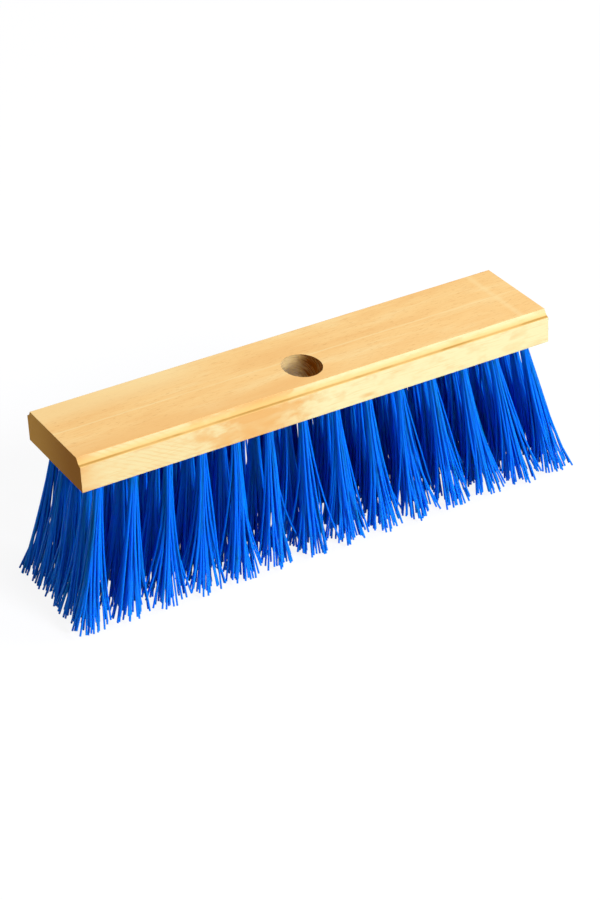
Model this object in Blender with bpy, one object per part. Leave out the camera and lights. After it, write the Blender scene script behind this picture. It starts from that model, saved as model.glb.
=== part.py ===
"""Wooden broom head with a slanted handle bore and five rows of fanned bristle tufts.

Metres, +Z up. The head stands on its bristle tips at z = 0 and its length lies along X.
The handle leans towards -Y, the front. Each tuft is set in its own blind hole.
"""
import math
import random
from collections import namedtuple

import bmesh
import bpy
from mathutils import Matrix, Vector

# Block
block_length = 0.300
block_width = 0.067
block_height = 0.020
arris_ease = 0.0006

# Moulding along both long top edges: a hollow slope over a small sloped ledge
moulding_inset = 0.0040
moulding_drop = 0.0037
moulding_hollow = 0.0003
moulding_steps = 4
ledge_width = 0.00135
ledge_drop = 0.0004

# Handle bore, drilled right through and leaning to the front
bore_diameter = 0.0225
bore_tilt = math.radians(35)
bore_mouth_offset = 0.0095
bore_sides = 32

# Tuft holes: even steps along each half of a row, starting clear of the bore
row_names = ("front", "inner_front", "inner_back", "back")
inner_row_share = 0.5
tufts_per_half = 7
bore_wall = 0.0012
end_margin = 0.0133
side_margin = 0.0074
hole_depth = 0.0133
seat_gap = 0.0003
cut_overrun = 0.003

# Tuft roots: the bundle folded in half and pressed into its hole
root_diameter = 0.0050
fold_rise = 0.0016
fold_thickness = 0.0022

# Wire that ties the folds of one half of the middle row together, inside the wood
tie_height = 0.0103
tie_thickness = 0.0012

# Strands
trim_length = 0.088
tip_cut = 0.0005
end_flare = 0.017
side_flare = 0.008
strands_per_tuft = 7
strand_gap = 0.0006
ragged_fall = 0.006
bend_depth_share = 0.42
bend_spread_share = 0.30
bend_width_share = 1.05
tip_width_share = 1.15
tip_reach_shares = (1.0, 0.36, 0.70)
swing_share = 0.35
ragged_share = 0.45

# Finish: linear red, green and blue, roughness, and the least angle of a sharp edge
wood_colour = (0.72, 0.46, 0.20)
wood_roughness = 0.55
bristle_colour = (0.0, 0.09, 0.68)
bristle_roughness = 0.35
sharp_angle = math.radians(32)

# Places that follow from the sizes above
underside = trim_length
block_top = underside + block_height
half_width = block_width / 2
last_tuft_x = block_length / 2 - end_margin
last_row_y = half_width - side_margin
inner_row_y = last_row_y * inner_row_share
row_places = (-last_row_y, -inner_row_y, inner_row_y, last_row_y)
row_pitch = last_row_y - inner_row_y
tuft_pitch = 2 * last_tuft_x / (2 * tufts_per_half - 1)
root_radius = root_diameter / 2
root_length = hole_depth - seat_gap
hole_radius = root_radius + seat_gap / math.cos(math.pi / strands_per_tuft)
golden_angle = math.pi * (3 - math.sqrt(5))

# A tuft's name, its frame, its seed and the side of the middle that it stands on
Place = namedtuple("Place", "name matrix seed side")


def clear_scene():
    """Remove every object that the file opened with."""
    for item in list(bpy.data.objects):
        bpy.data.objects.remove(item, do_unlink=True)


def make_material(name, colour, roughness):
    """Return a Principled material of one colour."""
    material = bpy.data.materials.new(name)
    material.use_nodes = True
    shader = material.node_tree.nodes["Principled BSDF"]
    shader.inputs["Base Color"].default_value = (*colour, 1.0)
    shader.inputs["Roughness"].default_value = roughness
    shader.inputs["Metallic"].default_value = 0.0
    material.diffuse_color = (*colour, 1.0)
    return material


def add_object(name, mesh, parent, matrix, material=None):
    """Link an object that carries the mesh at the given place."""
    item = bpy.data.objects.new(name, mesh)
    bpy.context.scene.collection.objects.link(item)
    item.parent = parent
    item.matrix_local = matrix
    if material is not None:
        mesh.materials.append(material)
    mesh.shade_smooth()
    mesh.set_sharp_from_angle(angle=sharp_angle)
    return item


def finish_mesh(name, shape):
    """Turn a bmesh into a mesh whose faces point outwards."""
    bmesh.ops.recalc_face_normals(shape, faces=shape.faces[:])
    mesh = bpy.data.meshes.new(name)
    shape.to_mesh(mesh)
    shape.free()
    return mesh


# Block: the moulded profile extruded along its length

def moulding_slope():
    """Points of one side's hollow slope, from the ledge up to the top face."""
    low = Vector((half_width - ledge_width, block_top - moulding_drop))
    high = Vector((half_width - moulding_inset, block_top))
    along = (high - low).normalized()
    outward = Vector((along.y, -along.x))
    points = []
    for step in range(moulding_steps + 1):
        share = step / moulding_steps
        depth = moulding_hollow * 4 * share * (1 - share)
        points.append(low.lerp(high, share) - outward * depth)
    return points


def block_profile():
    """Outline of the block's end as (y, z) points, counter-clockwise seen from +X."""
    right = [
        Vector((half_width - arris_ease, underside)),
        Vector((half_width, underside + arris_ease)),
        Vector((half_width, block_top - moulding_drop - ledge_drop)),
    ]
    right += moulding_slope()
    left = [Vector((-point.x, point.y)) for point in reversed(right)]
    return right + left


def make_block_mesh():
    """Extrude the profile between the ends and ease the edges of both ends."""
    shape = bmesh.new()
    start = -block_length / 2
    ring = [shape.verts.new((start, point.x, point.y)) for point in block_profile()]
    end_face = shape.faces.new(ring)
    moved = bmesh.ops.extrude_face_region(shape, geom=[end_face], use_keep_orig=True)
    far_verts = [item for item in moved["geom"] if isinstance(item, bmesh.types.BMVert)]
    bmesh.ops.translate(shape, verts=far_verts, vec=(block_length, 0, 0))
    end_edges = [edge for edge in shape.edges if edge.verts[0].co.x == edge.verts[1].co.x]
    bmesh.ops.bevel(
        shape, geom=end_edges, offset=arris_ease, segments=1, affect="EDGES", clamp_overlap=True
    )
    return finish_mesh("block", shape)


# Handle bore

def bore_middle():
    """Middle of the bore's axis, which points up and to the front."""
    rise = Vector((0, -math.sin(bore_tilt), math.cos(bore_tilt)))
    mouth = Vector((0, -bore_mouth_offset, block_top))
    return mouth - rise * (block_height / 2 / math.cos(bore_tilt))


def make_bore_mesh():
    """Cylinder that drills the handle bore, standing clear of both faces."""
    radius = bore_diameter / 2
    reach = (block_height / 2 + radius * math.sin(bore_tilt)) / math.cos(bore_tilt)
    shape = bmesh.new()
    bmesh.ops.create_cone(
        shape,
        cap_ends=True,
        segments=bore_sides,
        radius1=radius,
        radius2=radius,
        depth=2 * (reach + cut_overrun),
    )
    return finish_mesh("bore_cutter", shape)


# Tuft places

def tuft_matrix(x, y, spin):
    """Frame of a tuft: origin at its hole's mouth and +Z up along its slanted axis."""
    mouth = Vector((x, y, underside))
    tip = Vector((x + end_flare * x / last_tuft_x, y + side_flare * y / last_row_y, 0))
    turn = Vector((0, 0, 1)).rotation_difference(mouth - tip).to_matrix().to_4x4()
    return Matrix.Translation(mouth) @ turn @ Matrix.Rotation(spin, 4, "Z")


def first_tuft_x(y):
    """How far from the middle a row's first tufts stand, so that their holes clear the bore."""
    lean = math.tan(bore_tilt)
    bore_y_below = block_height * lean - bore_mouth_offset
    bore_y_at_hole_end = bore_y_below - hole_depth * lean
    apart = max(bore_y_at_hole_end - y, y - bore_y_below, 0) * math.cos(bore_tilt)
    clear = bore_diameter / 2 + hole_radius + bore_wall
    return max(tuft_pitch / 2, math.sqrt(max(clear**2 - apart**2, 0)))


def half_row(y):
    """Distances from the middle of the tufts in one half of a row, evenly spaced."""
    first = first_tuft_x(y)
    step = (last_tuft_x - first) / (tufts_per_half - 1)
    return [first + number * step for number in range(tufts_per_half)]


def row_of_places(row_name, row, y):
    """Return the places of one row, its two halves mirrored in X."""
    places = []
    for number, x in enumerate(half_row(y)):
        seed = row + number * (len(row_names) + 1)
        for side in (-1, 1):
            spin = seed * golden_angle if side > 0 else math.pi - seed * golden_angle
            order = tufts_per_half + (number + 1 if side > 0 else -number)
            name = f"tuft_{row_name}_{order:02d}"
            places.append(Place(name, tuft_matrix(side * x, y, spin), seed, side))
    return places


def outer_places():
    """Places of the four rows whose tufts stand singly."""
    places = []
    for row, (row_name, y) in enumerate(zip(row_names, row_places)):
        places += row_of_places(row_name, row, y)
    return places


def make_holes_mesh(places):
    """Drills of all the tuft holes, each in its tuft's own frame."""
    shape = bmesh.new()
    length = hole_depth + cut_overrun
    lift = Matrix.Translation((0, 0, hole_depth - length / 2))
    for place in places:
        bmesh.ops.create_cone(
            shape,
            cap_ends=True,
            segments=strands_per_tuft,
            radius1=hole_radius,
            radius2=hole_radius,
            depth=length,
            matrix=place.matrix @ lift,
        )
    return finish_mesh("tuft_hole_cutter", shape)


# Tufts

def fan_reach():
    """How far along and across the head a tuft's outermost strands stand at their tips."""
    side_row = half_row(-inner_row_y)
    tip_pitch = (side_row[1] - side_row[0]) * (1 + end_flare / last_tuft_x)
    tip_row_pitch = row_pitch * (1 + side_flare / last_row_y)
    strand_half = root_radius * tip_width_share / 2
    return [(pitch - strand_gap) / 2 - strand_half for pitch in (tip_pitch, tip_row_pitch)]


def strand_ends(place, angles):
    """Return each strand's end in the tuft's frame, short of or just past the floor."""
    draw = random.Random(place.seed)
    turn = place.matrix.to_3x3()
    along, across = fan_reach()
    ends = []
    for number, angle in enumerate(angles):
        swing = place.side * draw.uniform(-1, 1) * swing_share * math.pi / strands_per_tuft
        heading = Vector((math.cos(angle + swing), math.sin(angle + swing), 0))
        faced = turn @ heading
        reach = 1 / math.hypot(faced.x / along, faced.y / across)
        offset = heading * reach * tip_reach_shares[number % len(tip_reach_shares)]
        if draw.random() < ragged_share:
            end_height = ragged_fall * draw.random()
        else:
            end_height = -tip_cut
        depth = (underside + turn[2].dot(offset) - end_height) / turn[2][2]
        ends.append(offset - Vector((0, 0, depth)))
    return ends


def make_root(shape):
    """Pressed root: a prism in the hole, closed by the ridge of the folded bundle."""
    straight = root_length - fold_rise
    bmesh.ops.create_cone(
        shape,
        cap_ends=True,
        segments=strands_per_tuft,
        radius1=root_radius,
        radius2=root_radius,
        depth=straight,
        matrix=Matrix.Translation((0, 0, straight / 2)),
    )
    top = max(shape.faces, key=lambda face: face.calc_center_median().z)
    ridge = bmesh.ops.extrude_discrete_faces(shape, faces=[top])["faces"][0].verts[:]
    bmesh.ops.translate(shape, verts=ridge, vec=(0, 0, fold_rise))
    bmesh.ops.scale(shape, verts=ridge, vec=(1, fold_thickness / root_diameter, 1))


def split_mouth(shape, side):
    """Split the root's lower face into one triangle for each strand, in mirrored order."""
    mouth = min(shape.faces, key=lambda face: face.calc_center_median().z)
    sectors = bmesh.ops.poke(shape, faces=[mouth])["faces"]
    return sorted(sectors, key=lambda face: side * face_angle(face) % math.tau)


def face_angle(face):
    """Angle of a face's middle about the tuft's axis."""
    middle = face.calc_center_median()
    return math.atan2(middle.y, middle.x)


def grow_strands(shape, faces, centres, width_share):
    """Extrude each strand to its own next middle, narrowing it about that middle."""
    grown = []
    for face, centre in zip(faces, centres):
        end = bmesh.ops.extrude_discrete_faces(shape, faces=[face])["faces"][0]
        middle = end.calc_center_median()
        for vert in end.verts:
            vert.co = centre + (vert.co - middle) * width_share
        grown.append(end)
    return grown


def trim_at_floor(shape, matrix):
    """Cut off flat what stands below the floor and close the cut ends."""
    local = matrix.inverted()
    floor_normal = (local.to_3x3() @ Vector((0, 0, 1))).normalized()
    bmesh.ops.bisect_plane(
        shape,
        geom=shape.verts[:] + shape.edges[:] + shape.faces[:],
        plane_co=local @ Vector((0, 0, 0)),
        plane_no=floor_normal,
        clear_inner=True,
    )
    rims = [edge for edge in shape.edges if edge.is_boundary]
    bmesh.ops.holes_fill(shape, edges=rims)


def make_tuft_mesh(place):
    """Build one tuft in its own frame: root, bent strands and trimmed ends."""
    shape = bmesh.new()
    make_root(shape)
    sectors = split_mouth(shape, place.side)
    roots = [face.calc_center_median() for face in sectors]
    ends = strand_ends(place, [face_angle(face) for face in sectors])
    bends = []
    for root, end in zip(roots, ends):
        bend = root.lerp(end, bend_spread_share)
        bend.z = end.z * bend_depth_share
        bends.append(bend)
    faces = grow_strands(shape, sectors, bends, bend_width_share)
    grow_strands(shape, faces, ends, tip_width_share / bend_width_share)
    trim_at_floor(shape, place.matrix)
    return finish_mesh(place.name, shape)


# Middle row: each half's tufts, their folds tied together by a wire in a channel of its own

def tie_span(places):
    """Ends of a half row's wire: where it meets the axes of the first and the last tuft."""
    ends = []
    for place in places:
        axis = place.matrix.to_3x3().col[2]
        ends.append(place.matrix.translation.x + tie_height * axis.x / axis.z)
    return min(ends), max(ends)


def make_tie_mesh(name, spans, thickness):
    """Square bars along the middle of the head, one over each span."""
    shape = bmesh.new()
    for low, high in spans:
        middle = Vector(((low + high) / 2, 0, underside + tie_height))
        size = Matrix.Diagonal((high - low, thickness, thickness, 1))
        bmesh.ops.create_cube(shape, size=1, matrix=Matrix.Translation(middle) @ size)
    return finish_mesh(name, shape)


def make_half_row_mesh(name, places):
    """Gather a half row's tufts, which aren't yet tied, in the head's frame."""
    shape = bmesh.new()
    for place in places:
        shape.from_mesh(make_tuft_mesh(place))
        shape.verts.ensure_lookup_table()
        added = [vert for vert in shape.verts if not vert.tag]
        bmesh.ops.transform(shape, matrix=place.matrix, verts=added)
        for vert in added:
            vert.tag = True
    return finish_mesh(name, shape)


# Assembly

def combine(item, other, operation):
    """Join a hidden shape to an object, or subtract it."""
    other.hide_render = True
    other.display_type = "WIRE"
    step = item.modifiers.new(other.name, "BOOLEAN")
    step.operation = operation
    step.solver = "EXACT"
    step.object = other


def add_middle_row(head, places, material):
    """Add each half of the middle row as one piece; return the spans of their wires."""
    here = Matrix.Identity(4)
    spans = []
    for side, half in ((-1, "left"), (1, "right")):
        tufts = [place for place in places if place.side == side]
        spans.append(tie_span(tufts))
        name = f"tufts_middle_{half}"
        tie = add_object(name, make_tie_mesh(name, spans[-1:], tie_thickness), head, here, material)
        loose = add_object(f"loose_{name}", make_half_row_mesh(name, tufts), head, here, material)
        combine(tie, loose, "UNION")
    return spans


def main():
    """Build the block, drill it and seat a tuft in each of its holes."""
    clear_scene()
    wood = make_material("pale_wood", wood_colour, wood_roughness)
    bristle = make_material("blue_bristle", bristle_colour, bristle_roughness)

    head = bpy.data.objects.new("broom_head", None)
    bpy.context.scene.collection.objects.link(head)
    head.empty_display_size = block_height

    here = Matrix.Identity(4)
    outer = outer_places()
    middle = row_of_places("middle", len(row_names), 0)
    spans = add_middle_row(head, middle, bristle)

    block = add_object("block", make_block_mesh(), head, here, wood)
    bore_place = Matrix.Translation(bore_middle()) @ Matrix.Rotation(bore_tilt, 4, "X")
    bore = add_object("bore_cutter", make_bore_mesh(), head, bore_place)
    holes = add_object("tuft_hole_cutter", make_holes_mesh(outer + middle), head, here)
    channel_width = tie_thickness + 2 * seat_gap
    channels = make_tie_mesh("tie_channel_cutter", spans, channel_width)
    for cutter in (bore, holes, add_object("tie_channel_cutter", channels, head, here)):
        combine(block, cutter, "DIFFERENCE")

    for place in outer:
        add_object(place.name, make_tuft_mesh(place), head, place.matrix, bristle)


main()
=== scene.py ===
"""Looks of a wooden broom head: a moulded wooden block and its tufts of blue filament.

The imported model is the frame. The block is modelled again with eased arrises, a torn bore
wall and drilled tuft holes, and every tuft is drawn filament by filament in its own hole.
Metres, +Z up; the head stands on its bristle tips at z = 0 and its front looks along -Y.
"""
import logging
import math
import random
from dataclasses import dataclass
from enum import Enum

import bpy
import numpy as np
from mathutils import Matrix, Vector, noise


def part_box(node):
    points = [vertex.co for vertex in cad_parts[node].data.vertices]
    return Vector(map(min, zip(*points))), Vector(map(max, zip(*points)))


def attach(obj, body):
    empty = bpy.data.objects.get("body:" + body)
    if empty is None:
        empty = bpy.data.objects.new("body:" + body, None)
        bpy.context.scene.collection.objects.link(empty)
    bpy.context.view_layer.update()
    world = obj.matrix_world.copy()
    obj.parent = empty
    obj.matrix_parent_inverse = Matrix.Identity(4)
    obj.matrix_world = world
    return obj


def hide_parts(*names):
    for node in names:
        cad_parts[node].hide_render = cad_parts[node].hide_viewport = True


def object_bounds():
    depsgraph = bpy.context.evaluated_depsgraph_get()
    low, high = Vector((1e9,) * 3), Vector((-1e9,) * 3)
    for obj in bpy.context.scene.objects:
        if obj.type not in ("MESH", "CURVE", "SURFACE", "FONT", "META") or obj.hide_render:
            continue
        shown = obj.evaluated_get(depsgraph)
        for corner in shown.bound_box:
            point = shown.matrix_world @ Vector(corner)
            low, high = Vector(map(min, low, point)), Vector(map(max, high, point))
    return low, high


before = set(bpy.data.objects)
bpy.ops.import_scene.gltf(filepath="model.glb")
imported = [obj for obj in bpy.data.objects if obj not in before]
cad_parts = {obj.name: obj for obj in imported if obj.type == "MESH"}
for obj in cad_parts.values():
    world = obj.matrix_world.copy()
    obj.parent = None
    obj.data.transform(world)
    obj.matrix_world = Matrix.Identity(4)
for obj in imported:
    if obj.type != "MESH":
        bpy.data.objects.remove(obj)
cad_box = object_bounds()
log = logging.getLogger("broom_head")

ROOT_BODY = "root"
GOLDEN_ANGLE = math.pi * (3 - math.sqrt(5))
BORE_TILT = math.radians(35)
WOOD_SMOOTH_ANGLE = math.radians(30)
ROD_SMOOTH_ANGLE = math.radians(75)
Socket = bpy.types.NodeSocket
Outputs = bpy.types.NodeOutputs
Piece = bpy.types.Object
Colour = tuple[float, float, float, float]
Triple = tuple[float, float, float]
Span = tuple[float, float]
Inputs = dict[str | int, object]


class Slot(Enum):
    """Names of the material slots."""

    WOOD = "wood"
    BRISTLE = "bristle"


class Texture(Enum):
    """Kinds of procedural pattern that a finish can draw."""

    NOISE = "ShaderNodeTexNoise"
    VORONOI = "ShaderNodeTexVoronoi"


@dataclass(frozen=True)
class Ramp:
    """Smooth course of a number: start at low and under it, end at high and over it."""

    low: float
    high: float
    start: float = 0.0
    end: float = 1.0


@dataclass(frozen=True)
class Band:
    """Share that falls from its peak at a middle value to nothing at its reach."""

    middle: float
    reach: float
    peak: float = 1.0


@dataclass(frozen=True)
class Grain:
    """Cloudy pattern: its rates per metre along X, Y and Z, its detail and its twist."""

    rate: Triple
    detail: float = 3.0
    twist: float = 0.0


def deselect_all() -> None:
    """Leave edit mode and clear the selection."""
    if bpy.context.object is not None and bpy.context.object.mode != "OBJECT":
        bpy.ops.object.mode_set(mode="OBJECT")
    bpy.ops.object.select_all(action="DESELECT")


def take_up(piece: Piece) -> None:
    """Make a piece the only selected and the active one.

    Args:
        piece: The object to work on.
    """
    deselect_all()
    piece.select_set(True)
    bpy.context.view_layer.objects.active = piece


def apply_modifier(piece: Piece, kind: str, **settings: object) -> None:
    """Change a piece by a modifier for good.

    Args:
        piece: The object to change.
        kind: The modifier's type.
        **settings: The modifier's options.
    """
    take_up(piece)
    modifier = piece.modifiers.new("change", kind)
    for key, value in settings.items():
        setattr(modifier, key, value)
    bpy.ops.object.modifier_apply(modifier=modifier.name)


def join(pieces: list[Piece]) -> Piece:
    """Join pieces into the first of them, where there are more than one.

    Args:
        pieces: The objects to join.

    Returns:
        The first of them.
    """
    take_up(pieces[0])
    if len(pieces) > 1:
        for piece in pieces:
            piece.select_set(True)
        bpy.ops.object.join()
    return pieces[0]


def extrude_rod(sides: int, radius: float, foot: float, rows: int, rise: float) -> Piece:
    """Model a rod by extruding a filled circle up or down.

    Args:
        sides: Number of sides.
        radius: Radius of the circle.
        foot: Height of the circle.
        rows: Number of extrusions.
        rise: Length of each, under zero to go down.

    Returns:
        The rod, round the Z axis.
    """
    deselect_all()
    bpy.ops.mesh.primitive_circle_add(
        vertices=sides, radius=radius, fill_type="NGON", location=(0, 0, foot)
    )
    bpy.ops.object.transform_apply()
    bpy.ops.object.mode_set(mode="EDIT")
    bpy.ops.mesh.select_all(action="SELECT")
    for _ in range(rows):
        bpy.ops.mesh.extrude_region_move(TRANSFORM_OT_translate={"value": (0, 0, rise)})
    bpy.ops.object.mode_set(mode="OBJECT")
    return bpy.context.object


def select_top_face(piece: Piece) -> None:
    """Enter face mode with only the highest upward face selected.

    Args:
        piece: The active mesh object.
    """
    bpy.ops.object.mode_set(mode="EDIT")
    bpy.ops.mesh.select_mode(type="FACE")
    bpy.ops.mesh.select_all(action="DESELECT")
    bpy.ops.object.mode_set(mode="OBJECT")
    faces = piece.data.polygons
    top = max(faces, key=lambda face: face.center.z + face.normal.z)
    top.select = True
    bpy.ops.object.mode_set(mode="EDIT")


def settle(piece: Piece, smooth_angle: float) -> None:
    """Put a piece's place into its mesh, turn its faces outwards and smooth its round parts.

    Args:
        piece: The finished object.
        smooth_angle: Greatest angle between two faces that are shaded as one, in radians.
    """
    take_up(piece)
    bpy.ops.object.transform_apply()
    bpy.ops.object.mode_set(mode="EDIT")
    bpy.ops.mesh.select_all(action="SELECT")
    bpy.ops.mesh.normals_make_consistent()
    bpy.ops.object.mode_set(mode="OBJECT")
    bpy.ops.object.shade_smooth_by_angle(angle=smooth_angle)


def hand_over(piece: Piece, slot: Slot, *nodes: str) -> None:
    """Hang a piece on the head's body, in place of any frame nodes it stands for, and log it.

    Args:
        piece: The finished object.
        slot: Not used.
        *nodes: The frame's nodes that it stands for.
    """
    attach(piece, ROOT_BODY)
    if nodes:
        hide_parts(*nodes)
    log.info("%s: %d faces, stands for %s", piece.name, len(piece.data.polygons), nodes)


class NodeDesk:
    """Adds and links the nodes of one node tree."""

    def __init__(self, tree: bpy.types.NodeTree) -> None:
        """Keep the node tree, of a material or of the world."""
        self.tree = tree

    def fill(self, node: bpy.types.Node, inputs: Inputs) -> None:
        """Link or set a node's inputs.

        Args:
            node: The node.
            inputs: Socket to link or plain value to set, by the input's name or number.
        """
        for key, value in inputs.items():
            if isinstance(value, Socket):
                self.tree.links.new(value, node.inputs[key])
            else:
                node.inputs[key].default_value = value

    def node(self, kind: str, inputs: Inputs | None = None, **settings: object) -> Outputs:
        """Add a node.

        Args:
            kind: The node's type.
            inputs: What its inputs take.
            **settings: Its options.

        Returns:
            Its outputs.
        """
        made = self.tree.nodes.new(kind)
        for key, value in settings.items():
            setattr(made, key, value)
        self.fill(made, inputs or {})
        return made.outputs

    def combine(self, operation: str, first: object, second: object = 0.0) -> Socket:
        """Combine two numbers by a Math operation."""
        return self.node("ShaderNodeMath", {0: first, 1: second}, operation=operation)[0]

    def plus(self, first: object, second: object) -> Socket:
        """Add two numbers."""
        return self.combine("ADD", first, second)

    def minus(self, first: object, second: object) -> Socket:
        """Take the second number from the first."""
        return self.combine("SUBTRACT", first, second)

    def times(self, first: object, second: object) -> Socket:
        """Multiply two numbers."""
        return self.combine("MULTIPLY", first, second)

    def size(self, value: Socket) -> Socket:
        """Drop a number's sign."""
        return self.combine("ABSOLUTE", value)

    def blend(self, share: object, first: object, second: object) -> Socket:
        """Mix two colours by a share."""
        return self.node("ShaderNodeMix", {0: share, 6: first, 7: second}, data_type="RGBA")[2]

    def seen_by(self, *rays: str) -> Socket:
        """Tell some kinds of ray from the others.

        Args:
            *rays: Names of the kinds.

        Returns:
            1 for rays of those kinds and 0 for the others.
        """
        path = self.node("ShaderNodeLightPath")
        share = path[rays[0]]
        for ray in rays[1:]:
            share = self.combine("MAXIMUM", share, path[ray])
        return share


class Recipe(NodeDesk):
    """The nodes of one material, round its Principled shader."""

    def __init__(self, name: str) -> None:
        """Start a material.

        Args:
            name: The material's name.
        """
        self.material = bpy.data.materials.new(name)
        self.material.use_nodes = True
        super().__init__(self.material.node_tree)
        self.shader = self.tree.nodes["Principled BSDF"]

    def set_surface(self, inputs: Inputs) -> None:
        """Link or set the shader's own sockets."""
        self.fill(self.shader, inputs)

    def place(self) -> Socket:
        """Object coordinates, in metres."""
        return self.node("ShaderNodeTexCoord")["Object"]

    def facing(self) -> Socket:
        """The surface's own normal, in the object's axes."""
        return self.node("ShaderNodeTexCoord")["Normal"]

    def read(self, name: str, output: str) -> Socket:
        """One output of a mesh attribute."""
        return self.node("ShaderNodeAttribute", attribute_name=name)[output]

    def axes(self, vector: Socket) -> tuple[Socket, Socket, Socket]:
        """Split a vector into its X, Y and Z."""
        return tuple(self.node("ShaderNodeSeparateXYZ", {0: vector}))

    def map(self, vector: Socket, setting: str, values: Triple) -> Socket:
        """Scale a vector by rates per metre, or turn it by radians."""
        return self.node("ShaderNodeMapping", {"Vector": vector, setting: values})[0]

    def remap(self, value: Socket, ramp: Ramp) -> Socket:
        """Carry a number smoothly along a ramp."""
        inputs = {0: value, 1: ramp.low, 2: ramp.high, 3: ramp.start, 4: ramp.end}
        return self.node("ShaderNodeMapRange", inputs, interpolation_type="SMOOTHSTEP", clamp=True)[0]

    def band(self, value: Socket, band: Band) -> Socket:
        """Give a number's share in a band."""
        off = self.size(self.minus(value, band.middle))
        return self.remap(off, Ramp(0.0, band.reach, band.peak, 0.0))

    def tint(self, value: Socket, ramp: Ramp, first: object, second: object) -> Socket:
        """Mix two colours by a number carried along a ramp."""
        return self.blend(self.remap(value, ramp), first, second)

    def noise(self, vector: Socket, grain: Grain) -> Socket:
        """Draw a cloudy pattern, from 0 to 1."""
        inputs = {"Scale": 1.0, "Detail": grain.detail, "Distortion": grain.twist}
        return self.pattern(Texture.NOISE, vector, grain.rate, inputs)[0]

    def spots(self, vector: Socket, rate: Triple) -> Socket:
        """Draw scattered cells, as the distance from the nearest cell's middle."""
        return self.pattern(Texture.VORONOI, vector, rate, {"Scale": 1.0})["Distance"]

    def pattern(self, kind: Texture, vector: Socket, rate: Triple, inputs: Inputs) -> Outputs:
        """Add a pattern's node on a vector scaled by rates per metre; its outputs."""
        return self.node(kind.value, {"Vector": self.map(vector, "Scale", rate), **inputs})

    def relief(self, height: Socket, depth: float, strength: float) -> None:
        """Raise the surface by a height pattern.

        Args:
            height: The pattern, from 0 to 1.
            depth: Height of the pattern in metres.
            strength: Share of the full effect.
        """
        inputs = {"Strength": strength, "Distance": depth, "Height": height}
        self.set_surface({"Normal": self.node("ShaderNodeBump", inputs)[0]})

    def mix_shaders(self, share: Socket, first: Socket, second: Socket) -> Socket:
        """Mix two shaders by a share."""
        return self.node("ShaderNodeMixShader", {0: share, 1: first, 2: second})[0]


@dataclass(frozen=True)
class TopFigure:
    """Flat-sawn figure of the top and the underside, with a pale line and a planer mark."""

    face_colour: Colour = (0.970, 0.640, 0.280, 1.0)
    pale_colour: Colour = (0.985, 0.765, 0.400, 1.0)
    golden_colour: Colour = (0.900, 0.525, 0.205, 1.0)
    fleck_colour: Colour = (0.600, 0.300, 0.100, 1.0)
    clouds: Grain = Grain((12.0, 48.0, 48.0), 3.0, 0.3)
    swirls: Grain = Grain((24.0, 230.0, 230.0), 3.0, 0.4)
    dashes: Grain = Grain((240.0, 1900.0, 1900.0), 2.0)
    pale_clouds: Ramp = Ramp(0.50, 0.68, 0.0, 0.55)
    golden_clouds: Ramp = Ramp(0.32, 0.50, 0.60, 0.0)
    golden_swirls: Ramp = Ramp(0.46, 0.72, 0.0, 0.30)
    golden_fibres: Ramp = Ramp(0.48, 0.72, 0.0, 0.60)
    pale_fibres: Ramp = Ramp(0.25, 0.45, 0.25, 0.0)
    flecks: Ramp = Ramp(0.60, 0.72, 0.0, 0.50)
    front_strip: Ramp = Ramp(-0.024, -0.010, 0.62, 0.0)
    front_fade: Ramp = Ramp(-0.020, 0.030, 1.0, 0.25)
    back_strip: Ramp = Ramp(0.004, 0.020, 0.0, 0.55)
    back_fade: Ramp = Ramp(-0.075, -0.035, 1.0, 0.0)
    pale_line: Band = Band(-0.0006, 0.0011, 0.60)
    line_breaks: Ramp = Ramp(0.30, 0.55, 0.45, 1.0)
    planer_mark: Band = Band(0.1345, 0.0032, 0.42)

    def paint(self, recipe: Recipe, place: Socket, fibre: Socket) -> Socket:
        """Draw the figure.

        Args:
            recipe: The material's recipe.
            place: Object coordinates.
            fibre: Noise of the fine fibres.

        Returns:
            The colour.
        """
        along, across, _ = recipe.axes(place)
        cloud = recipe.noise(place, self.clouds)
        swirl = recipe.noise(place, self.swirls)
        dash = recipe.noise(place, self.dashes)
        colour = self.face_colour
        for value, ramp, second in (
            (cloud, self.pale_clouds, self.pale_colour),
            (cloud, self.golden_clouds, self.golden_colour),
            (swirl, self.golden_swirls, self.golden_colour),
            (fibre, self.golden_fibres, self.golden_colour),
            (fibre, self.pale_fibres, self.pale_colour),
            (dash, self.flecks, self.fleck_colour),
        ):
            colour = recipe.tint(value, ramp, colour, second)
        for strip, fade, second in (
            (self.front_strip, self.front_fade, self.golden_colour),
            (self.back_strip, self.back_fade, self.pale_colour),
        ):
            share = recipe.times(recipe.remap(across, strip), recipe.remap(along, fade))
            colour = recipe.blend(share, colour, second)
        line = recipe.times(recipe.band(across, self.pale_line), recipe.remap(swirl, self.line_breaks))
        marks = recipe.combine("MAXIMUM", line, recipe.band(along, self.planer_mark))
        return recipe.blend(marks, colour, self.pale_colour)


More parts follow.
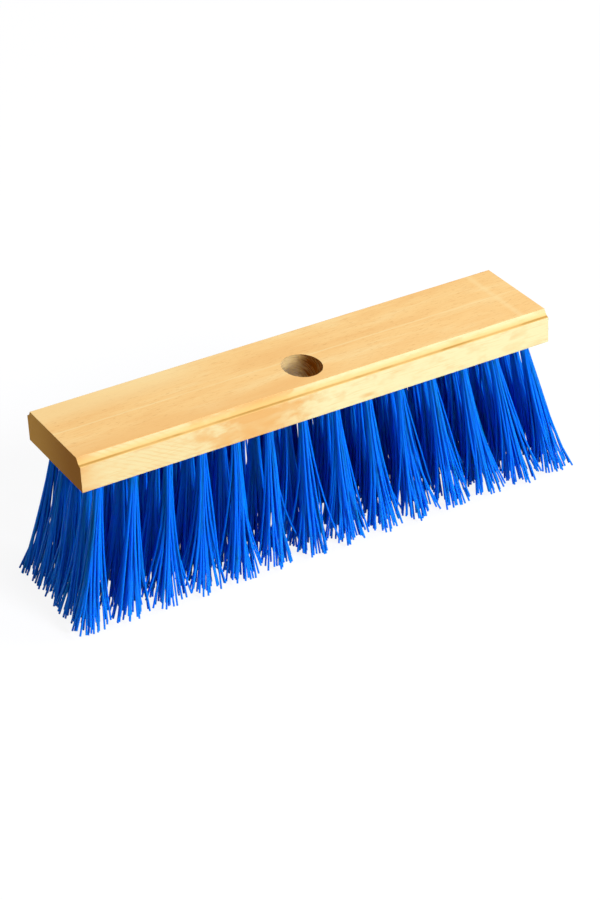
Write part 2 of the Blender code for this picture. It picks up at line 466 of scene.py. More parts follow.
@dataclass(frozen=True)
class SideFigure:
    """Mottled figure of the long sides: saw marks at the left, a heart patch, a knot, rust and painted
    shade at the left corner.
    """

    edge_colour: Colour = (0.665, 0.612, 0.355, 1.0)
    warm_colour: Colour = (0.655, 0.450, 0.205, 1.0)
    heart_and_shade_colour: Colour = (0.625, 0.345, 0.118, 1.0)
    rusty_colour: Colour = (0.620, 0.360, 0.150, 1.0)
    blotches: Grain = Grain((95.0, 190.0, 190.0), 4.0)
    left_part: Ramp = Ramp(-0.095, -0.045, 1.0, 0.0)
    warm_left: Ramp = Ramp(0.0, 1.0, 0.0, 0.36)
    warm_blotches: Ramp = Ramp(0.45, 0.70, 0.0, 0.40)
    corner_shade: Ramp = Ramp(-0.150, -0.134, 1.35, 0.0)
    heart_wander: Ramp = Ramp(0.3, 0.7, -0.012, 0.012)
    heart_along: Band = Band(-0.043, 0.046, 1.30)
    heart_patches: Ramp = Ramp(0.20, 0.60, 0.55, 0.95)
    knot_along: Band = Band(0.0285, 0.0075)
    knot_height: float = 0.0915
    knot_flatness: float = 2.0
    knot_wander: float = 0.006
    knot_shade: Ramp = Ramp(0.0, 0.004, 0.0, 0.7)
    saw_rate_along: float = 1180.0
    saw_rate_up: float = 2320.0
    saw_wander: float = 6.0
    saw_shade: Ramp = Ramp(0.1, 1.0, 0.0, 0.28)
    saw_patches: Ramp = Ramp(0.35, 0.60, 0.15, 1.0)
    rust_rate: Triple = (34.0, 120.0, 120.0)
    rust_spots: Ramp = Ramp(0.10, 0.34, 0.40, 0.0)
    rust_blotches: Ramp = Ramp(0.42, 0.60)
    dark_fibres: Ramp = Ramp(0.50, 0.78, 0.0, 0.38)

    def paint(self, recipe: Recipe, place: Socket, fibre: Socket, patch: Socket) -> Socket:
        """Draw the figure.

        Args:
            recipe: The material's recipe.
            place: Object coordinates.
            fibre: Noise of the fine fibres.
            patch: Noise of the broad patches.

        Returns:
            The colour.
        """
        along, _, up = recipe.axes(place)
        blotch = recipe.noise(place, self.blotches)
        left = recipe.remap(along, self.left_part)
        colour = recipe.tint(left, self.warm_left, self.edge_colour, self.warm_colour)
        colour = recipe.tint(blotch, self.warm_blotches, colour, self.warm_colour)
        for share in (
            # Painted shade at the left corner, in the heart's colour.
            recipe.times(recipe.remap(along, self.corner_shade), patch),
            self._heart(recipe, along, blotch, patch),
            self._knot(recipe, along, up, patch),
            recipe.times(self._saw_marks(recipe, along, up, blotch, patch), left),
        ):
            colour = recipe.blend(share, colour, self.heart_and_shade_colour)
        rust = recipe.remap(recipe.spots(place, self.rust_rate), self.rust_spots)
        rust = recipe.times(rust, recipe.remap(blotch, self.rust_blotches))
        colour = recipe.blend(rust, colour, self.rusty_colour)
        return recipe.tint(fibre, self.dark_fibres, colour, self.heart_and_shade_colour)

    def _heart(self, recipe: Recipe, along: Socket, blotch: Socket, patch: Socket) -> Socket:
        """Share of the heartwood patch.

        Args:
            recipe: The material's recipe.
            along: Place along the block.
            blotch: Noise that its rim wanders by.
            patch: Noise that it breaks by.

        Returns:
            The share.
        """
        wander = recipe.plus(along, recipe.remap(blotch, self.heart_wander))
        heart = recipe.band(wander, self.heart_along)
        return recipe.combine("MINIMUM", heart, recipe.remap(patch, self.heart_patches))

    def _knot(self, recipe: Recipe, along: Socket, up: Socket, patch: Socket) -> Socket:
        """Share of the small knot, a flat spot.

        Args:
            recipe: The material's recipe.
            along: Place along the block.
            up: Height.
            patch: Noise that its rim wanders by.

        Returns:
            The share.
        """
        off = recipe.size(recipe.times(recipe.minus(up, self.knot_height), self.knot_flatness))
        off = recipe.plus(off, recipe.times(patch, self.knot_wander))
        inside = recipe.minus(self.knot_along.reach, off)
        return recipe.times(recipe.remap(inside, self.knot_shade), recipe.band(along, self.knot_along))

    def _saw_marks(
        self, recipe: Recipe, along: Socket, up: Socket, blotch: Socket, patch: Socket
    ) -> Socket:
        """Share of the slanted saw marks.

        Args:
            recipe: The material's recipe.
            along: Place along the block.
            up: Height.
            blotch: Noise that they sway by.
            patch: Noise that they fade by.

        Returns:
            The share.
        """
        phase = recipe.times(along, self.saw_rate_along)
        phase = recipe.plus(phase, recipe.times(up, self.saw_rate_up))
        phase = recipe.plus(phase, recipe.times(blotch, self.saw_wander))
        marks = recipe.remap(recipe.combine("SINE", phase), self.saw_shade)
        return recipe.times(marks, recipe.remap(patch, self.saw_patches))


@dataclass(frozen=True)
class MouldingShade:
    """Painted shade that darkens the moulding towards its foot, with a broken painted shadow line in the
    crease at the foot.
    """

    foot_shade_colour: Colour = (0.740, 0.490, 0.180, 1.0)
    foot_shadow_line_colour: Colour = (0.480, 0.270, 0.070, 1.0)
    inner_edge: float = 0.0288
    past_inner_edge: Ramp = Ramp(0.0, 0.0004)
    below_foot: Ramp = Ramp(-0.0009, 0.0)
    above_foot: Ramp = Ramp(0.0, 0.0034, 0.8, 0.0)
    foot_line: Band = Band(0.1043, 0.0006)
    line_breaks: Ramp = Ramp(0.35, 0.62, 0.45, 1.0)

    def lay(self, recipe: Recipe, place: Socket, patch: Socket, colour: Socket) -> Socket:
        """Paint shade along the foot, and a painted shadow line in the crease there.

        Args:
            recipe: The material's recipe.
            place: Object coordinates.
            patch: Noise of the broad patches.
            colour: The colour without the painted shade.

        Returns:
            The colour with it.
        """
        # Painted shade: darker down the moulding to its foot, and a broken painted shadow line in the
        # crease.
        _, across, up = recipe.axes(place)
        off = recipe.minus(up, self.foot_line.middle)
        beside = recipe.remap(recipe.minus(recipe.size(across), self.inner_edge), self.past_inner_edge)
        below, above = recipe.remap(off, self.below_foot), recipe.remap(off, self.above_foot)
        foot = recipe.combine("MINIMUM", below, above)
        colour = recipe.blend(recipe.times(foot, beside), colour, self.foot_shade_colour)
        line = recipe.times(recipe.band(up, self.foot_line), recipe.remap(patch, self.line_breaks))
        return recipe.blend(recipe.times(line, beside), colour, self.foot_shadow_line_colour)


@dataclass(frozen=True)
class PlanedWood:
    """Pale hardwood, planed and bare: golden clouds, fine fibres, saw marks and dark end grain, with
    painted shade on the moulding's foot and on the ends towards the front.
    """

    top: TopFigure = TopFigure()
    side: SideFigure = SideFigure()
    foot_shade: MouldingShade = MouldingShade()
    end_colour: Colour = (0.565, 0.288, 0.052, 1.0)
    end_front_shade_colour: Colour = (0.305, 0.112, 0.001, 1.0)
    end_front_to_back: Ramp = Ramp(-0.030, 0.034)
    side_normal: Ramp = Ramp(0.35, 0.70)
    end_normal: Ramp = Ramp(0.6, 0.95, 0.0, 0.97)
    fibres: Grain = Grain((70.0, 1500.0, 1500.0), 4.0)
    patches: Grain = Grain((34.0, 120.0, 120.0), 3.0, 0.4)
    roughness: float = 0.58
    specular: float = 0.04
    relief_depth: float = 0.00012
    relief_strength: float = 0.5

    def dress(self) -> bpy.types.Material:
        """Build the finish.

        Returns:
            The material.
        """
        recipe = Recipe("planed_wood")
        place = recipe.place()
        _, across, _ = recipe.axes(place)
        normal_x, normal_y, _ = recipe.axes(recipe.facing())
        fibre = recipe.noise(place, self.fibres)
        patch = recipe.noise(place, self.patches)
        top = self.top.paint(recipe, place, fibre)
        side = self.side.paint(recipe, place, fibre, patch)
        colour = recipe.tint(recipe.size(normal_y), self.side_normal, top, side)
        # Painted shade along the moulding's foot, with a painted shadow line in its crease.
        colour = self.foot_shade.lay(recipe, place, patch, colour)
        # End grain is darker; painted shade darkens each end further towards the front.
        ends = recipe.tint(across, self.end_front_to_back, self.end_front_shade_colour, self.end_colour)
        colour = recipe.tint(recipe.size(normal_x), self.end_normal, colour, ends)
        sheen = {"Roughness": self.roughness, "Specular IOR Level": self.specular}
        recipe.set_surface({"Base Color": colour, **sheen})
        recipe.relief(fibre, self.relief_depth, self.relief_strength)
        return recipe.material


@dataclass(frozen=True)
class BoredWood:
    """Raw wood inside a drilled hole: torn rings, and painted shade on the wall towards +X, its edge
    slanted with depth.
    """

    pale_colour: Colour = (1.00, 0.80, 0.42, 1.0)
    torn_colour: Colour = (0.50, 0.24, 0.06, 1.0)
    wall_shade_colour: Colour = (0.23, 0.066, 0.002, 1.0)
    rings: Grain = Grain((140.0, 140.0, 1300.0), 5.0, 0.6)
    patches: Grain = Grain((110.0, 110.0, 260.0))
    torn_rings: Ramp = Ramp(0.45, 0.80, 0.0, 0.50)
    torn_patches: Ramp = Ramp(0.52, 0.75, 0.0, 0.25)
    wall_shade_side: Ramp = Ramp(0.0003, 0.0090, 0.0, 0.94)
    wall_shade_ragged: Ramp = Ramp(0.3, 0.7, -0.15, 0.15)
    wall_shade_slant: float = 0.18
    tilt: float = BORE_TILT
    mouth_height: float = 0.0939
    roughness: float = 0.85
    relief_depth: float = 0.0003
    relief_strength: float = 0.8

    def dress(self) -> bpy.types.Material:
        """Build the finish.

        Returns:
            The material.
        """
        recipe = Recipe("bored_wood")
        place = recipe.map(recipe.place(), "Rotation", (-self.tilt, 0.0, 0.0))
        side, _, height = recipe.axes(place)
        ring = recipe.noise(place, self.rings)
        patch = recipe.noise(place, self.patches)
        colour = recipe.tint(ring, self.torn_rings, self.pale_colour, self.torn_colour)
        colour = recipe.tint(patch, self.torn_patches, colour, self.torn_colour)
        # Painted shade: the wall darkens towards +X, its edge slanted with depth and ragged along the
        # rings.
        depth = recipe.minus(self.mouth_height, height)
        side = recipe.minus(side, recipe.times(depth, self.wall_shade_slant))
        wall_shade = recipe.remap(side, self.wall_shade_side)
        wall_shade = recipe.plus(wall_shade, recipe.remap(ring, self.wall_shade_ragged))
        colour = recipe.blend(wall_shade, colour, self.wall_shade_colour)
        recipe.set_surface({"Base Color": colour, "Roughness": self.roughness, "Specular IOR Level": 0.0})
        recipe.relief(ring, self.relief_depth, self.relief_strength)
        return recipe.material


@dataclass(frozen=True)
class BlueFilament:
    """Extruded blue plastic: each filament has its own shade, and cut tips look paler."""

    deep_colour: Colour = (0.0, 0.140, 0.97, 1.0)
    bright_colour: Colour = (0.0, 0.160, 1.0, 1.0)
    tip_colour: Colour = (0.003, 0.195, 1.0, 1.0)
    streaks: Grain = Grain((900.0, 900.0, 60.0), 2.0)
    streak_shade: Ramp = Ramp(0.3, 0.7, -0.12, 0.12)
    worn_height: Ramp = Ramp(0.0, 0.038, 0.65, 0.0)
    roughness: float = 0.5
    specular: float = 0.08
    clear_weight: float = 0.8
    clear_depth: float = 0.0012
    clear_reach: Triple = (0.8, 0.8, 1.0)
    shade_name: str = "filament_shade"
    outward_name: str = "filament_outward"

    def dress(self) -> bpy.types.Material:
        """Build the finish.

        Returns:
            The material.
        """
        recipe = Recipe("blue_filament")
        place = recipe.place()
        _, _, up = recipe.axes(place)
        streak = recipe.noise(place, self.streaks)
        shade = recipe.read(self.shade_name, "Fac")
        share = recipe.plus(shade, recipe.remap(streak, self.streak_shade))
        colour = recipe.blend(share, self.deep_colour, self.bright_colour)
        colour = recipe.tint(up, self.worn_height, colour, self.tip_colour)
        recipe.set_surface({
            "Base Color": colour,
            "Normal": self._lean_outward(recipe),
            "Roughness": self.roughness,
            "Specular IOR Level": self.specular,
            "Subsurface Weight": self.clear_weight,
            "Subsurface Scale": self.clear_depth,
            "Subsurface Radius": self.clear_reach,
        })
        return recipe.material

    def _lean_outward(self, recipe: Recipe) -> Socket:
        """Lean each filament's shading outwards from its tuft, as light spreads in clear plastic.

        Args:
            recipe: The material's recipe.

        Returns:
            The leaning normal, in the room's axes.
        """
        outward = recipe.read(self.outward_name, "Vector")
        both = {0: recipe.facing(), 1: outward}
        lean = recipe.node("ShaderNodeVectorMath", both, operation="ADD")[0]
        axes = {"vector_type": "NORMAL", "convert_from": "OBJECT", "convert_to": "WORLD"}
        return recipe.node("ShaderNodeVectorTransform", {0: lean}, **axes)[0]


@dataclass
class HeadBlock:
    """The wooden block: slab, moulded long edges, slanted handle bore and tuft holes."""

    node: str = "block"
    moulding_inset: float = 0.0040
    moulding_drop: float = 0.0037
    moulding_hollow: float = 0.0003
    moulding_steps: int = 8
    ledge_width: float = 0.00135
    ledge_drop: float = 0.0004
    bore_diameter: float = 0.0225
    bore_tilt: float = BORE_TILT
    bore_mouth_offset: float = 0.0095
    bore_sides: int = 96
    bore_rows: int = 40
    bore_tear: float = 0.00016
    tear_rate: Triple = (160.0, 900.0, 900.0)
    burr_depth: float = 0.0009
    burr_reach: float = 0.005
    burr_least: float = 0.8
    burr_ragged: float = 0.4
    burr_rate: float = 0.4
    bore_wall_slope: float = 0.5
    hole_radius: float = 0.00275
    hole_depth: float = 0.0133
    hole_sides: int = 16
    cut_overrun: float = 0.003
    arris_radius: float = 0.00035
    arris_segments: int = 3
    arris_angle: float = math.radians(35)

    def __post_init__(self) -> None:
        """Read the block's box from the frame and work out the bore's axis and mouth."""
        self.low, self.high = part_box(self.node)
        self.length = self.high.x - self.low.x
        self.half_width = (self.high.y - self.low.y) / 2
        self.ledge_height = self.high.z - self.moulding_drop - self.ledge_drop
        self.bore_axis = Vector((0, -math.sin(self.bore_tilt), math.cos(self.bore_tilt)))
        self.bore_mouth = Vector((0, -self.bore_mouth_offset, self.high.z))

    def build(self, seats: list["TuftSeat"]) -> Piece:
        """Model the block and drill it.

        Args:
            seats: Places of the tuft holes.

        Returns:
            The finished block, dressed and riding on the head.
        """
        body = self._saw_slab()
        self._mould_edges(body)
        self._cut(body, self._turn_tuft_drills(seats))
        self._ease_arrises(body)
        self._cut(body, self._turn_bore_drill())
        settle(body, WOOD_SMOOTH_ANGLE)
        apply_modifier(body, "WEIGHTED_NORMAL", keep_sharp=True)
        self._dress(body)
        hand_over(body, Slot.WOOD, self.node)
        return body

    def _saw_slab(self) -> Piece:
        """Add the slab up to the outer edge of the moulding.

        Returns:
            The slab.
        """
        deselect_all()
        middle = Vector((0, 0, (self.low.z + self.ledge_height) / 2))
        bpy.ops.mesh.primitive_cube_add(size=1.0, location=middle)
        body = bpy.context.object
        body.name = "wooden_block"
        body.scale = (self.length, 2 * self.half_width, self.ledge_height - self.low.z)
        bpy.ops.object.transform_apply()
        return body

    def _moulding_line(self) -> list[tuple[float, float]]:
        """Work out the moulding's section.

        Returns:
            Its half widths and heights, from its ledge up to the top face.
        """
        low = Vector((self.half_width - self.ledge_width, self.high.z - self.moulding_drop))
        high = Vector((self.half_width - self.moulding_inset, self.high.z))
        along = (high - low).normalized()
        line = []
        for step in range(self.moulding_steps + 1):
            share = step / self.moulding_steps
            hollow = self.moulding_hollow * 4 * share * (1 - share)
            point = low.lerp(high, share) - Vector((along.y, -along.x)) * hollow
            line.append((point.x, point.y))
        return line

    def _mould_edges(self, body: Piece) -> None:
        """Extrude the top face up through the moulding, narrowing it at each step.

        Args:
            body: The block.
        """
        select_top_face(body)
        half_width, height = self.half_width, self.ledge_height
        for next_half, next_height in self._moulding_line():
            rise = (0, 0, next_height - height)
            bpy.ops.mesh.extrude_region_move(TRANSFORM_OT_translate={"value": rise})
            middle = (0, 0, next_height)
            bpy.ops.transform.resize(value=(1, next_half / half_width, 1), center_override=middle)
            half_width, height = next_half, next_height
        bpy.ops.object.mode_set(mode="OBJECT")

    def _turn_bore_drill(self) -> Piece:
        """Model the handle bore's drill with a torn surface.

        Returns:
            The drill, in place.
        """
        radius = self.bore_diameter / 2
        height = self.high.z - self.low.z
        reach = (height / 2 + radius * math.sin(self.bore_tilt)) / math.cos(self.bore_tilt)
        reach += self.cut_overrun
        rise = 2 * reach / self.bore_rows
        drill = extrude_rod(self.bore_sides, radius, -reach, self.bore_rows, rise)
        self._tear(drill)
        drill.location = self.bore_mouth - self.bore_axis * (height / 2 / math.cos(self.bore_tilt))
        drill.rotation_euler = (self.bore_tilt, 0, 0)
        settle(drill, WOOD_SMOOTH_ANGLE)
        return drill

    def _tear(self, drill: Piece) -> None:
        """Roughen the drill's wall, so that its bore is torn and keeps a burr at its lower end.

        Args:
            drill: The drill, upright round the origin.
        """
        half_height = (self.high.z - self.low.z) / 2
        rise, lean = math.cos(self.bore_tilt), math.sin(self.bore_tilt)
        for corner in (vertex.co for vertex in drill.data.vertices):
            spot = Vector([value * rate for value, rate in zip(corner, self.tear_rate)])
            swell = noise.noise(spot) * self.bore_tear
            over_exit = corner.z * rise + corner.y * lean + half_height
            near_exit = min(max(1 - over_exit / self.burr_reach, 0), 1)
            ragged = self.burr_least + self.burr_ragged * noise.noise(spot * self.burr_rate)
            swell -= near_exit * self.burr_depth * ragged
            share = 1 + swell / (self.bore_diameter / 2)
            corner.x *= share
            corner.y *= share

    def _turn_tuft_drills(self, seats: list["TuftSeat"]) -> Piece:
        """Model one blunt drill, copy it to each tuft's hole and join the copies.

        Args:
            seats: Places of the tuft holes.

        Returns:
            The drills, in place.
        """
        deselect_all()
        length = self.hole_depth + self.cut_overrun
        bpy.ops.mesh.primitive_cylinder_add(
            vertices=self.hole_sides, radius=self.hole_radius, depth=length
        )
        first = bpy.context.object
        copies = []
        for seat in seats:
            copy = first.copy()
            copy.data = first.data.copy()
            bpy.context.collection.objects.link(copy)
            lift = Matrix.Translation((0, 0, length / 2 - self.cut_overrun))
            copy.matrix_world = seat.matrix @ lift
            copies.append(copy)
        bpy.data.objects.remove(first)
        drills = join(copies)
        settle(drills, WOOD_SMOOTH_ANGLE)
        return drills

    def _cut(self, body: Piece, cutter: Piece) -> None:
        """Subtract a cutter from the block and throw the cutter away."""
        apply_modifier(body, "BOOLEAN", operation="DIFFERENCE", solver="EXACT", object=cutter)
        bpy.data.objects.remove(cutter)

    def _ease_arrises(self, body: Piece) -> None:
        """Round every sharp edge, those of the holes' mouths too."""
        apply_modifier(
            body, "BEVEL", width=self.arris_radius, segments=self.arris_segments,
            limit_method="ANGLE", angle_limit=self.arris_angle, use_clamp_overlap=True,
        )

    def _dress(self, body: Piece) -> None:
        """Give the outside planed wood and the handle bore raw wood.

        Args:
            body: The block.
        """
        body.data.materials.clear()
        body.data.materials.append(PlanedWood().dress())
        body.data.materials.append(BoredWood().dress())
        axis = self.bore_axis
        limit = self.bore_diameter / 2 + 2 * self.bore_tear
        for face in body.data.polygons:
            offset = face.center - self.bore_mouth
            from_axis = (offset - axis * offset.dot(axis)).length
            on_wall = abs(face.normal.dot(axis)) < self.bore_wall_slope
            face.material_index = 1 if from_axis < limit and on_wall else 0


@dataclass
class TuftSeat:
    """A tuft's hole, read from the frame: its node, its mouth and its slanted axis."""

    node: str
    mouth: Vector
    axis: Vector

    @property
    def matrix(self) -> Matrix:
        """Work out the hole's frame.

        Returns:
            Origin at its mouth, Z up along its axis, X along the head.
        """
        up = self.axis
        side = Vector((0, 1, 0)).cross(up).normalized()
        turn = Matrix((side, up.cross(side), up)).transposed()
        return Matrix.Translation(self.mouth) @ turn.to_4x4()

    @classmethod
    def read(cls, node: str, underside: float) -> list["TuftSeat"]:
        """Find the mouth and the axis of each of a node's tufts from their pressed roots.

        Args:
            node: The node of one tuft, or of a half row of them.
            underside: Height of the block's underside.

        Returns:
            The node's seats, from left to right.
        """
        ring_reach, fold_height, tuft_reach = 0.001, 0.01195, 0.008
        points = {tuple(round(value, 6) for value in v.co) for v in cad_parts[node].data.vertices}
        rings: list[list[Vector]] = []
        for point in sorted(p for p in points if abs(p[2] - underside) < ring_reach):
            if not rings or point[0] - rings[-1][-1].x > tuft_reach:
                rings.append([])
            rings[-1].append(Vector(point))
        seats = []
        for ring in rings:
            mouth = sum(ring, Vector()) / len(ring)
            fold = [
                Vector(p) for p in points
                if p[2] > underside + fold_height and abs(p[0] - mouth.x) < tuft_reach
            ]
            axis = (sum(fold, Vector()) / len(fold) - mouth).normalized()
            seats.append(cls(node, mouth, axis))
        return seats


@dataclass
class FilamentStyle:
    """Sizes of the filaments and of the fan that each tuft opens into."""

    count: int = 40
    radius: float = 0.00056
    sides: int = 6
    steps: int = 7
    root_reach: float = 0.00215
    inset: float = 0.0112
    splay: float = 0.0098
    splay_spread: Span = (0.75, 1.2)
    turn_spread: float = 0.25
    scatter: float = 0.0012
    stray_chance: float = 0.10
    stray: float = 0.0024
    stray_spread: Span = (0.8, 3.0)
    bow: float = 0.0010
    curl_spread: Span = (1.7, 2.7)
    tip_scatter: float = 0.0028
    tip_scallop: float = 0.0034
    lowest_tip: float = 0.0002
    box_margin: float = 0.0006
    draw_in_spread: Span = (0.75, 1.0)
    outward_lean: float = 0.6


class Tuft:
    """One tuft of loose filaments, standing in its hole."""

    def __init__(self, seat: TuftSeat, style: FilamentStyle, seed: str) -> None:
        """Keep the tuft's place and sizes.

        Args:
            seat: The tuft's hole.
            style: Sizes of its filaments.
            seed: Start of its random draws.
        """
        self.seat = seat
        self.style = style
        self.draw = random.Random(seed)

    def build(self, pattern: "StraightFilament", finish: bpy.types.Material) -> Piece:
        """Copy the straight filament along each path of the fan.

        Args:
            pattern: The modelled filament.
            finish: Its material.

        Returns:
            The tuft's piece.
        """
        points, faces, shades, outwards = [], [], [], []
        for number in range(self.style.count):
            start = sum(len(block) for block in points)
            points.append(pattern.bend(self._path(number), self.style.radius))
            faces += [tuple(start + corner for corner in face) for face in pattern.faces]
            shades += [self.draw.random()] * len(points[-1])
            outwards += [self._outward(points[-1])] * len(points[-1])
        row = self.seat.node.removeprefix("tufts").removeprefix("tuft")
        mesh = bpy.data.meshes.new("filaments" + row)
        mesh.from_pydata(np.concatenate(points).tolist(), [], faces)
        shade = mesh.attributes.new(BlueFilament.shade_name, "FLOAT", "POINT")
        shade.data.foreach_set("value", shades)
        outward = mesh.attributes.new(BlueFilament.outward_name, "FLOAT_VECTOR", "POINT")
        outward.data.foreach_set("vector", np.array(outwards).ravel())
        mesh.materials.append(finish)
        piece = bpy.data.objects.new(mesh.name, mesh)
        bpy.context.collection.objects.link(piece)
        take_up(piece)
        bpy.ops.object.shade_smooth_by_angle(angle=ROD_SMOOTH_ANGLE)
        return piece

    def _outward(self, corners: np.ndarray) -> np.ndarray:
        """Find which way a filament stands from its tuft's axis.

        Args:
            corners: Places of its corners.

        Returns:
            That way, longest for the outermost filaments.
        """
        off = corners.mean(axis=0) - np.array(self.seat.mouth)
        axis = np.array(self.seat.axis)
        off -= axis * (off @ axis)
        return off / self.style.root_reach * self.style.outward_lean

    def _path(self, number: int) -> np.ndarray:
        """Draw a filament's centre line.

        Args:
            number: The filament's number in the tuft.

        Returns:
            Its points, from inside its hole down to its tip.
        """
        style, draw = self.style, self.draw
        share = (number + 0.5) / style.count
        out = math.sqrt(share)
        angle = number * GOLDEN_ANGLE + draw.uniform(-style.turn_spread, style.turn_spread)
        heading = np.array((math.cos(angle), math.sin(angle)))
        splay = style.splay * out * draw.uniform(*style.splay_spread)
        end = heading * (style.root_reach * out + splay)
        end += np.array((draw.gauss(0, 1), draw.gauss(0, 1))) * style.scatter
        if draw.random() < style.stray_chance:
            end += heading * style.stray * draw.uniform(*style.stray_spread)
        end = self._keep_in_box(end)
        bow = np.array((draw.gauss(0, 1), draw.gauss(0, 1))) * style.bow
        curl = draw.uniform(*style.curl_spread)
        tip_height = style.lowest_tip + abs(draw.gauss(0, 1)) * style.tip_scatter
        tip_height += style.tip_scallop * float(end @ end) / (style.root_reach + style.splay) ** 2
        return self._trace(heading * style.root_reach * out, end, bow, curl, tip_height)

    def _keep_in_box(self, end: np.ndarray) -> np.ndarray:
        """Draw in a filament's end that would pass the frame's box.

        Args:
            end: Where it ends, off the hole's axis.

        Returns:
            The end that it keeps.
        """
        foot = self.seat.mouth - self.seat.axis * (self.seat.mouth.z / self.seat.axis.z)
        for side in (0, 1):
            low = cad_box[0][side] + self.style.box_margin - foot[side]
            high = cad_box[1][side] - self.style.box_margin - foot[side]
            held = min(max(end[side], low), high)
            if held != end[side]:
                end[side] = held * self.draw.uniform(*self.style.draw_in_spread)
        return end

    def _trace(
        self, start: np.ndarray, end: np.ndarray, bow: np.ndarray, curl: float, tip_height: float
    ) -> np.ndarray:
        """Lay a filament's centre line out in the hole's frame and carry it to the head's.

        Args:
            start: Where it leaves the hole, off the hole's axis.
            end: Where it ends, off the hole's axis.
            bow: Its sideways sag at mid length.
            curl: How late it bends away, as a power.
            tip_height: Height of its tip.

        Returns:
            One point a step, in metres.
        """
        turn = np.array(self.seat.matrix.to_3x3())
        mouth = np.array(self.seat.mouth)
        drop = (mouth[2] + turn[2, :2] @ end - tip_height) / turn[2, 2]
        rows = [np.array((*start, self.style.inset))]
        for step in range(self.style.steps):
            share = step / (self.style.steps - 1)
            flat = start + (end - start) * share ** curl + bow * math.sin(math.pi * share)
            rows.append(np.array((*flat, -drop * share)))
        return mouth + np.array(rows) @ turn.T


class StraightFilament:
    """The filament that every tuft copies: a straight thin rod modelled once."""

    def __init__(self, style: FilamentStyle) -> None:
        """Model the rod of unit radius, one unit of length a step, and keep its shape.

        Args:
            style: Sizes of the filaments.
        """
        rod = extrude_rod(style.sides, 1.0, 0.0, style.steps, -1.0)
        settle(rod, ROD_SMOOTH_ANGLE)
        corners = np.array([vertex.co for vertex in rod.data.vertices])
        self.rows = np.rint(-corners[:, 2]).astype(int)
        self.section = corners[:, :2]
        self.faces = [tuple(face.vertices) for face in rod.data.polygons]
        bpy.data.objects.remove(rod)

    def bend(self, path: np.ndarray, radius: float) -> np.ndarray:
        """Lay the rod along a path.

        Args:
            path: One point a row of the rod.
            radius: The filament's radius.

        Returns:
            The places of the rod's corners.
        """
        ahead = np.gradient(path, axis=0)
        ahead /= np.linalg.norm(ahead, axis=1)[:, None]
        side = np.cross((0.0, 1.0, 0.0), -ahead)
        side /= np.linalg.norm(side, axis=1)[:, None]
        front = np.cross(-ahead, side)
        offset = side[self.rows] * self.section[:, :1] + front[self.rows] * self.section[:, 1:]
        return path[self.rows] + offset * radius


@dataclass(frozen=True)
class Lamp:
    """Square soft lamp: its name, where it hangs, its side and its power in watts."""

    name: str
    place: Triple
    side: float
    power: float

    def hang(self, target: Vector) -> None:
        """Hang the lamp so that it points at the head.

        Args:
            target: What it points at.
        """
        lamp = bpy.data.lights.new(self.name, "AREA")
        lamp.shape = "SQUARE"
        lamp.size = self.side
        lamp.energy = self.power
        holder = bpy.data.objects.new(self.name, lamp)
        bpy.context.collection.objects.link(holder)
        holder.location = self.place
        holder.rotation_euler = (Vector(self.place) - target).to_track_quat("Z", "Y").to_euler()


@dataclass(frozen=True)
class FloorPaint:
    """Matt pale paint that is seen white, keeps a light shadow and is clear from below."""

    colour: Colour = (0.80, 0.80, 0.80, 1.0)
    seen_colour: Colour = (0.80, 0.82, 0.94, 1.0)
    glow: float = 1.06
    glow_share: float = 0.84
    roughness: float = 0.9

    def dress(self) -> bpy.types.Material:
        """Build the finish.

        Returns:
            The material.
        """
        recipe = Recipe("floor_paint")
        seen = recipe.seen_by("Is Camera Ray", "Is Glossy Ray", "Is Transmission Ray")
        recipe.set_surface({
            "Base Color": recipe.blend(seen, self.colour, self.seen_colour),
            "Roughness": self.roughness,
            "Specular IOR Level": 0.0,
        })
        glow = recipe.node("ShaderNodeEmission", {"Strength": self.glow})[0]
        lift = recipe.times(seen, self.glow_share)
        shown = recipe.mix_shaders(lift, recipe.shader.outputs[0], glow)
        from_below = recipe.node("ShaderNodeNewGeometry")["Backfacing"]
        clear = recipe.node("ShaderNodeBsdfTransparent")[0]
        surface = recipe.mix_shaders(from_below, shown, clear)
        recipe.fill(recipe.tree.nodes["Material Output"], {"Surface": surface})
        return recipe.material


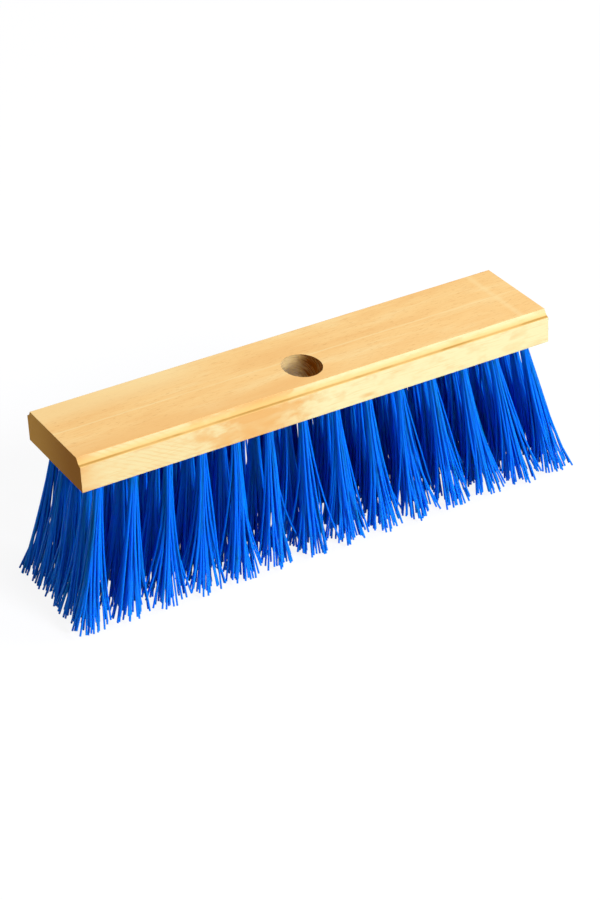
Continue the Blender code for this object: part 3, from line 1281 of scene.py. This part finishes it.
@dataclass
class Studio:
    """Pale floor, soft lamps and the camera that looks as the photograph does."""

    lamps: tuple[Lamp, ...] = (
        Lamp("key_lamp", (1.5, -4.0, 2.5), 1.5, 266.0),
        Lamp("top_lamp", (3.5, -0.8, 3.7), 1.4, 78.0),
    )
    room_strength: float = 0.27
    room_colour: Colour = (1.0, 0.96, 0.80, 1.0)
    seen_room_colour: Colour = (1.0, 1.0, 1.0, 1.0)
    floor_size: float = 12.0
    azimuth: float = math.radians(-28.28)
    elevation: float = math.radians(30.92)
    roll: float = math.radians(-2.81)
    distance: float = 1.5468
    slide_right: float = 0.00366
    slide_up: float = -0.0513
    focal_pixels: float = 2750.0
    long_side_pixels: float = 900.0
    sensor: float = 36.0

    def build(self, target: Vector) -> None:
        """Set up everything round the head.

        Args:
            target: Middle of the block's top face.
        """
        self._lay_floor()
        self._light_world()
        for lamp in self.lamps:
            lamp.hang(target)
        self._place_camera(target)
        bpy.context.scene.view_settings.view_transform = "Standard"

    def _lay_floor(self) -> None:
        """Lay the painted floor."""
        deselect_all()
        bpy.ops.mesh.primitive_plane_add(size=self.floor_size)
        floor = bpy.context.object
        floor.name = "floor"
        floor.data.materials.append(FloorPaint().dress())

    def _light_world(self) -> None:
        """Give the room an even light, and show it white to the camera."""
        world = bpy.data.worlds.new("studio_world")
        bpy.context.scene.world = world
        world.use_nodes = True
        desk = NodeDesk(world.node_tree)
        seen = desk.seen_by("Is Camera Ray", "Is Transmission Ray")
        level = desk.node("ShaderNodeMapRange", {"Value": seen, "To Min": self.room_strength})[0]
        shade = desk.blend(seen, self.room_colour, self.seen_room_colour)
        desk.fill(desk.tree.nodes["Background"], {"Strength": level, "Color": shade})

    def _place_camera(self, target: Vector) -> None:
        """Place the camera as measured on the block's corners in the photograph.

        Args:
            target: Middle of the block's top face.
        """
        azimuth, elevation = self.azimuth, self.elevation
        back = Vector((
            math.sin(azimuth) * math.cos(elevation),
            -math.cos(azimuth) * math.cos(elevation),
            math.sin(elevation),
        ))
        level_right = Vector((math.cos(azimuth), math.sin(azimuth), 0))
        level_up = back.cross(level_right)
        right = level_right * math.cos(self.roll) + level_up * math.sin(self.roll)
        up = level_up * math.cos(self.roll) - level_right * math.sin(self.roll)
        eye = target + right * self.slide_right + up * self.slide_up + back * self.distance
        camera = bpy.data.cameras.new("camera")
        camera.sensor_width = self.sensor
        camera.lens = self.focal_pixels * self.sensor / self.long_side_pixels
        holder = bpy.data.objects.new("camera", camera)
        bpy.context.collection.objects.link(holder)
        turn = Matrix((right, up, back)).transposed().to_4x4()
        holder.matrix_world = Matrix.Translation(eye) @ turn
        bpy.context.scene.camera = holder


def main() -> None:
    """Build the block, the tufts and the studio in order."""
    logging.basicConfig(level=logging.INFO, format="%(message)s")
    low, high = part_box("block")
    names = sorted(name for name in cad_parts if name.startswith("tuft"))
    groups = {name: TuftSeat.read(name, low.z) for name in names}
    HeadBlock().build([seat for seats in groups.values() for seat in seats])
    style = FilamentStyle()
    pattern = StraightFilament(style)
    finish = BlueFilament().dress()
    for seed, (node, seats) in enumerate(groups.items()):
        tufts = [Tuft(seat, style, f"{seed} {step}") for step, seat in enumerate(seats)]
        hand_over(join([tuft.build(pattern, finish) for tuft in tufts]), Slot.BRISTLE, node)
    Studio().build(Vector((0, 0, high.z)))


if __name__ == "__main__":
    main()
